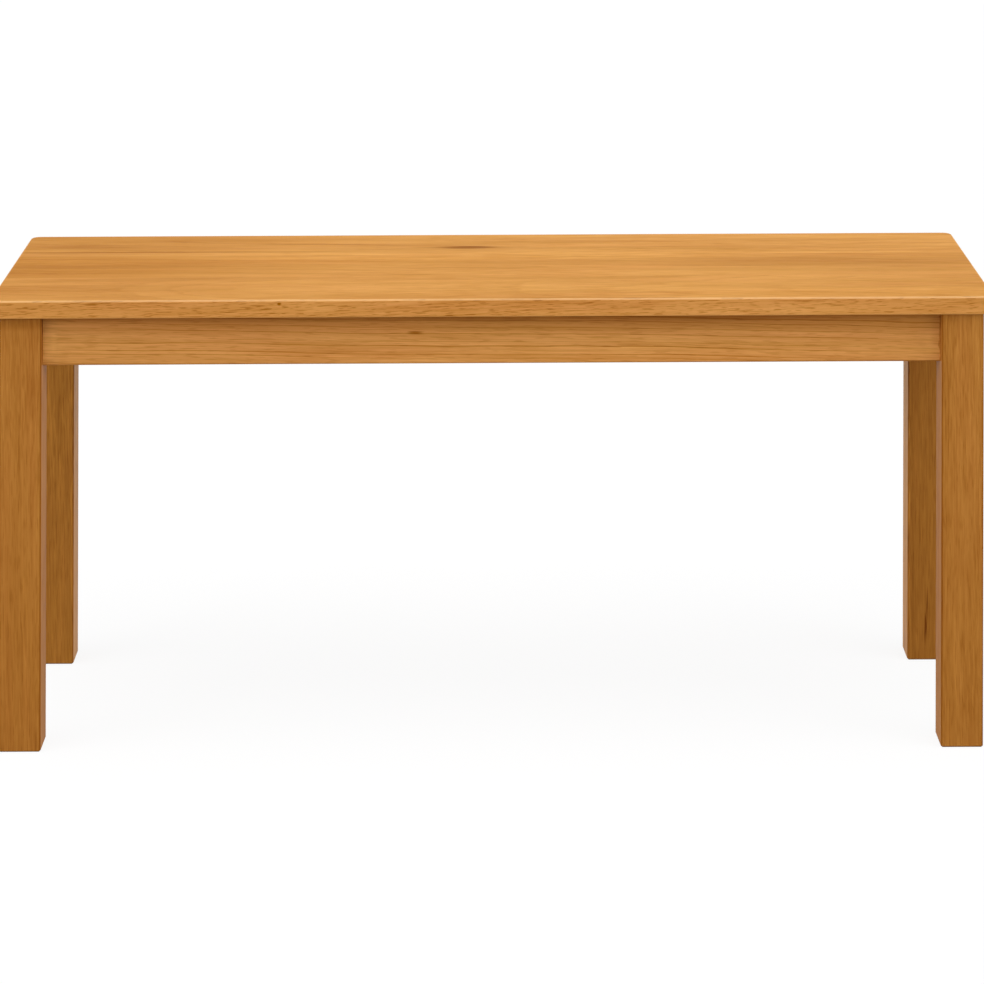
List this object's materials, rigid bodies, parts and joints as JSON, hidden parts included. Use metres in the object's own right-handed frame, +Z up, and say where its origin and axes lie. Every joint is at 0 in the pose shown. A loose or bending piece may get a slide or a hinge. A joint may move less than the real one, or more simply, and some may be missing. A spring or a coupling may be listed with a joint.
{
  "type": "bench",
  "caption": "Backless golden oak bench: a flat glued seat with eased edges on straight legs, joined by a slim apron frame set back from the leg faces.",
  "frame": {"origin": "on the floor under the middle of the seat", "axes": "+X along the bench to the right, -Y towards the front of the picture, +Z up"},
  "size_m": [1, 0.3, 0.45],
  "materials": {
    "oak_seat": "satin lacquer over golden oak, grain along the bench",
    "oak_leg": "satin lacquer over golden oak, grain upright",
    "oak_apron": "satin lacquer over golden oak, grain along the apron",
    "inner_wood": "bare planed oak, hidden under the seat",
    "button_wood": "bare beech",
    "biscuit_beech": "pressed beech, hidden in the glue lines",
    "screw_steel": "bright zinc plated"
  },
  "bodies": {
    "root": {"apron_back": "oak_apron", "apron_front": "oak_apron", "apron_left": "oak_apron", "apron_right": "oak_apron", "button_screws": "screw_steel", "corner_block_back_left": "inner_wood", "corner_block_back_right": "inner_wood", "corner_block_front_left": "inner_wood", "corner_block_front_right": "inner_wood", "corner_block_screws": "screw_steel", "cross_rail": "inner_wood", "cross_rail_screws": "screw_steel", "leg_back_left": "oak_leg", "leg_back_right": "oak_leg", "leg_front_left": "oak_leg", "leg_front_right": "oak_leg", "seat_biscuits_back": "biscuit_beech", "seat_biscuits_front": "biscuit_beech", "seat_board_back": "oak_seat", "seat_board_front": "oak_seat", "seat_board_middle": "oak_seat", "seat_button_back_1": "button_wood", "seat_button_back_2": "button_wood", "seat_button_back_3": "button_wood", "seat_button_back_4": "button_wood", "seat_button_front_1": "button_wood", "seat_button_front_2": "button_wood", "seat_button_front_3": "button_wood", "seat_button_front_4": "button_wood", "seat_button_left_1": "button_wood", "seat_button_right_1": "button_wood"}
  },
  "joints": []
}
